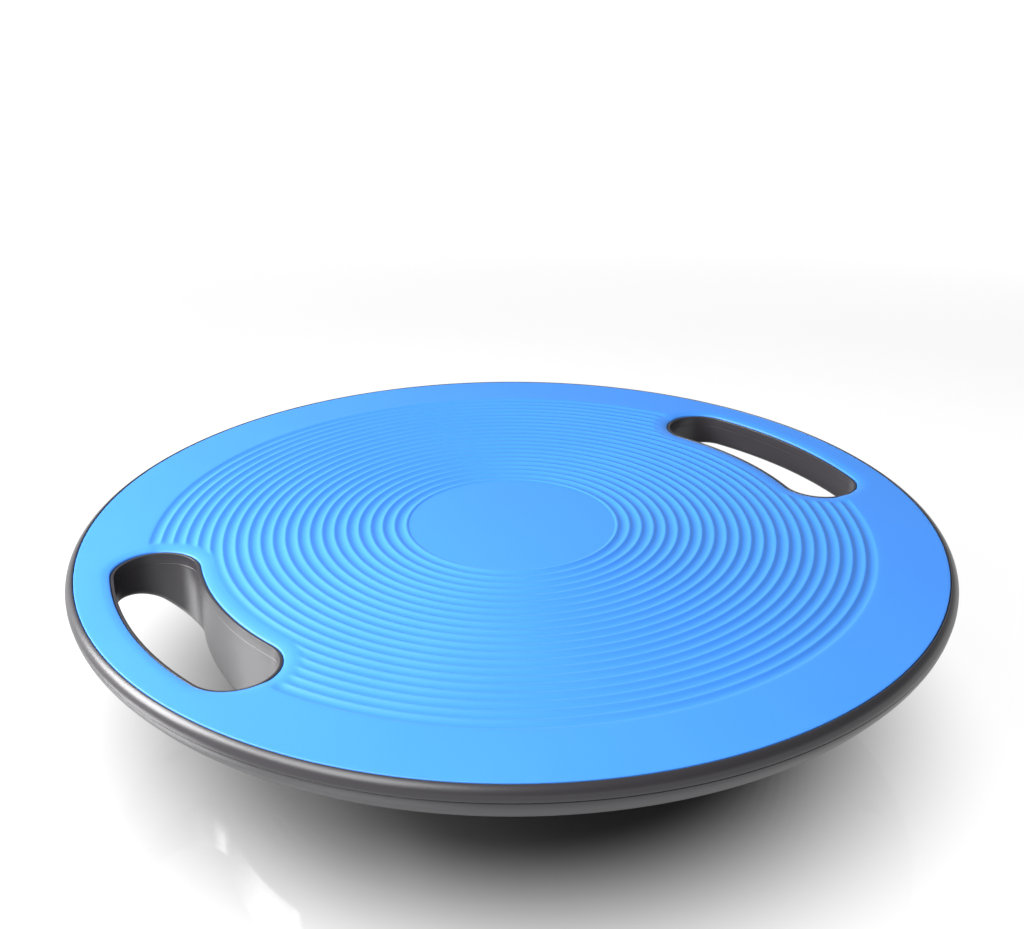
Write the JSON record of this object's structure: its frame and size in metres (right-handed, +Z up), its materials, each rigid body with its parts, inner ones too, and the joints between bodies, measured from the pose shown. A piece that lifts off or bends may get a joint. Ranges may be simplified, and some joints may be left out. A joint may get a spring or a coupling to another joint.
{
  "type": "balance board",
  "caption": "Round balance board for standing exercises: ridged soft mat on a two-part moulded body with a shallow dome underneath and a curved hand opening on each side.",
  "frame": {"origin": "middle of the underside of the grip pad, on the floor", "axes": "+Z up, square to the deck; the two hand openings lie on +X and -X; +Y completes a right-handed frame"},
  "size_m": [0.395, 0.395, 0.0824],
  "materials": {
    "mat": "moulded thermoplastic elastomer, satin, light blue",
    "shell": "injection-moulded polypropylene, semi-gloss, dark grey",
    "pad": "moulded thermoplastic elastomer, matt, charcoal",
    "screw": "zinc-plated steel"
  },
  "bodies": {
    "root": {"deck_mat": "mat", "deck_shell": "shell", "base_shell": "shell", "grip_pad": "pad", "deck_screws": "screw", "rim_screws": "screw"}
  },
  "joints": []
}
